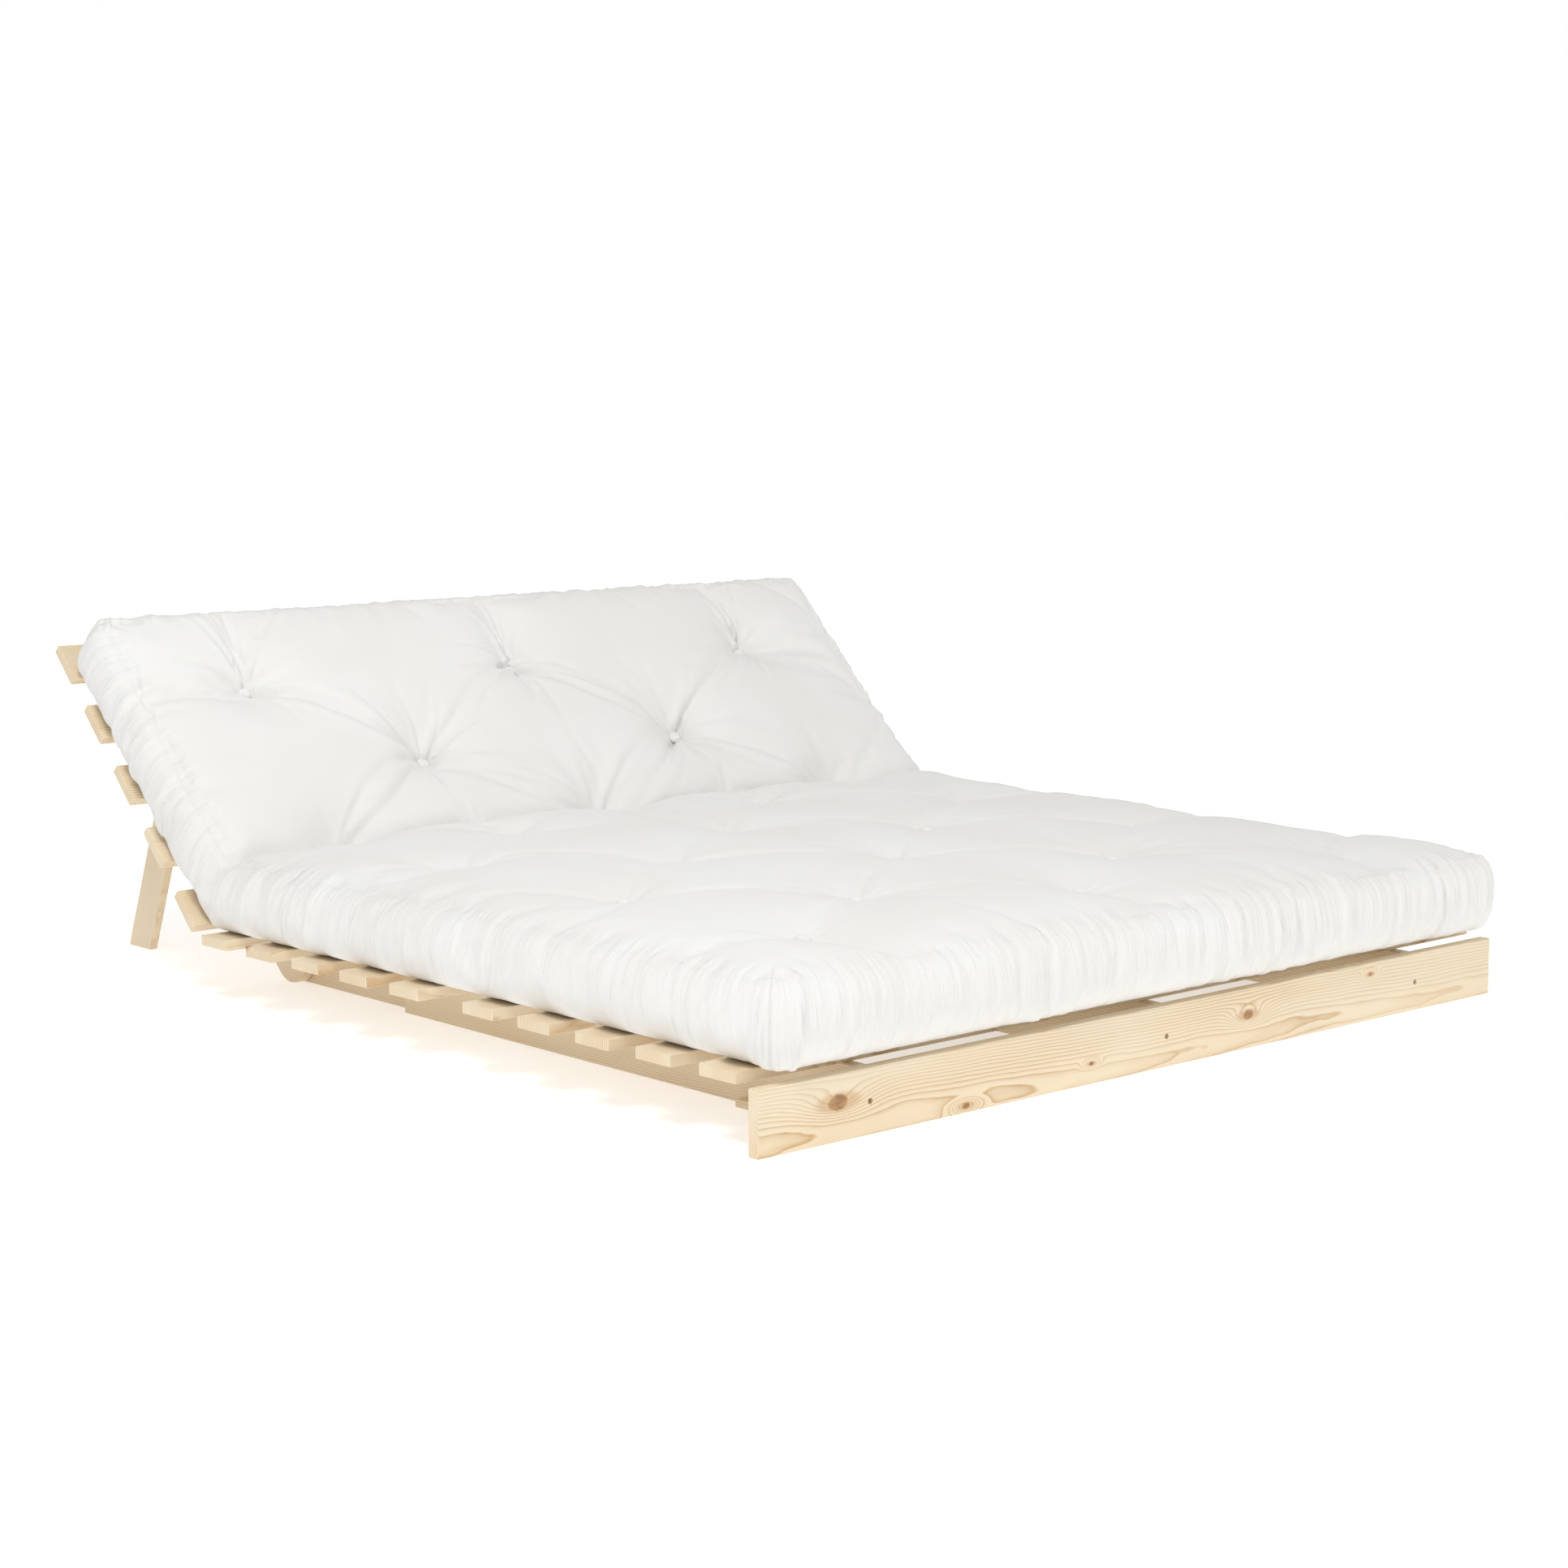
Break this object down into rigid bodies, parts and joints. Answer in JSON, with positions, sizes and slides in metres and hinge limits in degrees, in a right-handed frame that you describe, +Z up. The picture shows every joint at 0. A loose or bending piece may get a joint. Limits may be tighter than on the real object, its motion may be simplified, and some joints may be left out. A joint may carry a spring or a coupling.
{
  "type": "futon sofa bed",
  "caption": "Slatted pine sofa bed with a folding tufted cotton mattress, reclined as a lounger; it folds up to a sofa or down to a flat bed.",
  "frame": {"origin": "on the floor, under the middle of the whole object's box", "axes": "+X along the width, to the right as seen from the front; +Y from the front board to the back; +Z up"},
  "size_m": [1.606, 1.8802, 0.6103],
  "materials": {
    "pine": "satin",
    "cotton": "matte",
    "zinc_steel": "satin",
    "nylon": "matte"
  },
  "bodies": {
    "base": {"front_board": "pine", "front_board_screws": "zinc_steel", "front_rail_left": "pine", "floor_pad_left": "pine", "front_rail_middle": "pine", "front_rail_right": "pine", "floor_pad_right": "pine", "front_slat_1": "pine", "front_slat_2": "pine", "front_slat_3": "pine", "front_slat_4": "pine", "front_slat_5": "pine", "front_slat_screws": "zinc_steel", "front_pivot_bolts": "zinc_steel", "front_pivot_sleeves": "zinc_steel", "front_pivot_washers": "nylon", "mattress_front": "cotton"},
    "mid_section": {"mid_rail_left": "pine", "mid_rail_middle": "pine", "mid_rail_right": "pine", "mid_slat_1": "pine", "mid_slat_2": "pine", "mid_slat_3": "pine", "mid_slat_4": "pine", "mid_slat_5": "pine", "mid_slat_screws": "zinc_steel", "mattress_mid": "cotton"},
    "pivot_pins": {"back_pivot_bolts": "zinc_steel", "back_pivot_sleeves": "zinc_steel", "back_pivot_washers": "nylon", "mattress_fold": "cotton"},
    "back_section": {"back_rail_left": "pine", "leg_bolt_left": "zinc_steel", "leg_spacer_left": "pine", "back_rail_middle": "pine", "back_rail_right": "pine", "leg_bolt_right": "zinc_steel", "leg_spacer_right": "pine", "back_slat_1": "pine", "back_slat_2": "pine", "back_slat_3": "pine", "back_slat_4": "pine", "back_slat_5": "pine", "back_slat_screws": "zinc_steel", "mattress_back": "cotton"},
    "leg_left": {"leg_left": "pine"},
    "leg_right": {"leg_right": "pine"}
  },
  "joints": [
    {"name": "seat_fold", "type": "hinge", "parent": "base", "child": "mid_section", "pos_m": [0, -0.23307, 0.046], "axis": [1, 0, 0], "range_deg": [0, 75]},
    {"name": "back_swing", "type": "hinge", "parent": "mid_section", "child": "pivot_pins", "pos_m": [0, 0.45693, 0.046], "axis": [1, 0, 0], "range_deg": [-145.5, 0]},
    {"name": "back_recline", "type": "hinge", "parent": "pivot_pins", "child": "back_section", "pos_m": [0, 0.45693, 0.046], "axis": [1, 0, 0], "range_deg": [-45.5, 0]},
    {"name": "leg_left_fold", "type": "hinge", "parent": "back_section", "child": "leg_left", "pos_m": [-0.631, 0.76182, 0.35626], "axis": [1, 0, 0], "range_deg": [-66.8, 0]},
    {"name": "leg_right_fold", "type": "hinge", "parent": "back_section", "child": "leg_right", "pos_m": [0.625, 0.76182, 0.35626], "axis": [1, 0, 0], "range_deg": [-66.8, 0]}
  ],
  "couplings": [
    {"joint": "back_swing", "follows": "seat_fold", "ratio": -1.9333},
    {"joint": "leg_left_fold", "follows": "back_recline", "ratio": 1.4571},
    {"joint": "leg_right_fold", "follows": "back_recline", "ratio": 1.4571}
  ]
}
